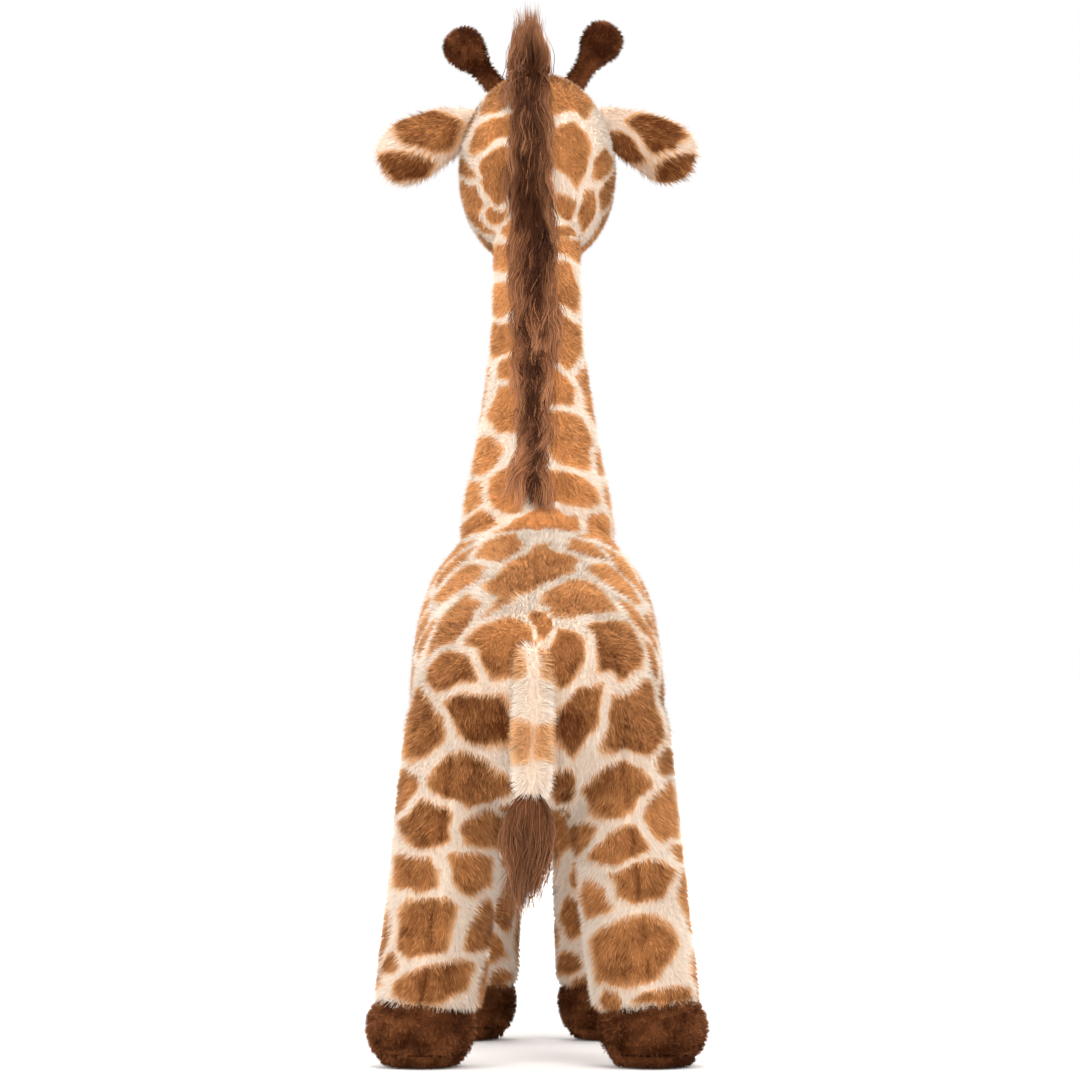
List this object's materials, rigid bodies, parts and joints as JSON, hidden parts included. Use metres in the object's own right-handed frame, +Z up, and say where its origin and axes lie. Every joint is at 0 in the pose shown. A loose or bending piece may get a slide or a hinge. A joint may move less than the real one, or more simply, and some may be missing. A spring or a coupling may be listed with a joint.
{
  "type": "standing plush giraffe",
  "caption": "Standing plush giraffe with a spotted skin, weighted brown hooves, ball-topped horns, a long brown mane and a tufted tail; neck, head, ears, horns and tail bend.",
  "frame": {"origin": "on the floor under the middle of the giraffe's bounding box", "axes": "+Z up, -Y the way the giraffe faces, +X its own left"},
  "size_m": [0.18, 0.4472, 0.5724],
  "materials": {
    "printed_plush": "short pile, printed spots",
    "cream_plush": "short pile",
    "hoof_plush": "short pile",
    "horn_plush": "short pile",
    "mane_hair": "long pile",
    "fibre_filling": "loose fibre",
    "weight_pouch": "woven",
    "eye_plastic": "glossy",
    "washer_plastic": "moulded"
  },
  "bodies": {
    "torso": {"torso_skin": "printed_plush", "torso_filling": "fibre_filling", "front_left_leg_skin": "printed_plush", "front_left_leg_filling": "fibre_filling", "front_left_hoof_upper": "hoof_plush", "front_left_hoof_sole": "hoof_plush", "front_left_hoof_weight_pouch": "weight_pouch", "front_right_leg_skin": "printed_plush", "front_right_leg_filling": "fibre_filling", "front_right_hoof_upper": "hoof_plush", "front_right_hoof_sole": "hoof_plush", "front_right_hoof_weight_pouch": "weight_pouch", "rear_left_leg_skin": "printed_plush", "rear_left_leg_filling": "fibre_filling", "rear_left_hoof_upper": "hoof_plush", "rear_left_hoof_sole": "hoof_plush", "rear_left_hoof_weight_pouch": "weight_pouch", "rear_right_leg_skin": "printed_plush", "rear_right_leg_filling": "fibre_filling", "rear_right_hoof_upper": "hoof_plush", "rear_right_hoof_sole": "hoof_plush", "rear_right_hoof_weight_pouch": "weight_pouch"},
    "neck": {"neck_skin": "printed_plush", "neck_filling": "fibre_filling", "neck_mane": "mane_hair"},
    "head": {"head_skin": "printed_plush", "head_filling": "fibre_filling", "head_mane": "mane_hair", "left_eye": "eye_plastic", "right_eye": "eye_plastic", "left_eye_washer": "washer_plastic", "right_eye_washer": "washer_plastic"},
    "left_ear": {"left_ear_back": "printed_plush", "left_ear_lining": "cream_plush"},
    "right_ear": {"right_ear_back": "printed_plush", "right_ear_lining": "cream_plush"},
    "left_horn": {"left_horn": "horn_plush"},
    "right_horn": {"right_horn": "horn_plush"},
    "tail": {"tail": "printed_plush"},
    "tail_tuft": {"tail_tuft": "mane_hair"}
  },
  "joints": [
    {"name": "neck_lean", "type": "hinge", "parent": "torso", "child": "neck", "pos_m": [0, -0.0495, 0.298], "axis": [1, 0, 0], "range_deg": [-8, 8], "stiffness_Nm_per_rad": 5},
    {"name": "head_nod", "type": "hinge", "parent": "neck", "child": "head", "pos_m": [0, -0.0795, 0.456], "axis": [1, 0, 0], "range_deg": [-15, 15], "stiffness_Nm_per_rad": 2.5},
    {"name": "left_ear_flap", "type": "hinge", "parent": "head", "child": "left_ear", "pos_m": [0.03914, -0.0985, 0.5085], "axis": [-0.3518, 0, 0.9361], "range_deg": [-30, 30], "stiffness_Nm_per_rad": 0.02},
    {"name": "right_ear_flap", "type": "hinge", "parent": "head", "child": "right_ear", "pos_m": [-0.03914, -0.0985, 0.5085], "axis": [0.3518, 0, 0.9361], "range_deg": [-30, 30], "stiffness_Nm_per_rad": 0.02},
    {"name": "left_horn_flex", "type": "hinge", "parent": "head", "child": "left_horn", "pos_m": [0.02049, -0.1085, 0.53328], "axis": [0, 1, 0], "range_deg": [-15, 15], "stiffness_Nm_per_rad": 0.03},
    {"name": "right_horn_flex", "type": "hinge", "parent": "head", "child": "right_horn", "pos_m": [-0.02049, -0.1085, 0.53331], "axis": [0, 1, 0], "range_deg": [-15, 15], "stiffness_Nm_per_rad": 0.03},
    {"name": "tail_lift", "type": "hinge", "parent": "torso", "child": "tail", "pos_m": [0, 0.17986, 0.21746], "axis": [1, 0, 0], "range_deg": [0, 80]},
    {"name": "tuft_swing", "type": "hinge", "parent": "tail", "child": "tail_tuft", "pos_m": [0, 0.21508, 0.13835], "axis": [0, 1, 0], "range_deg": [-25, 25]}
  ]
}
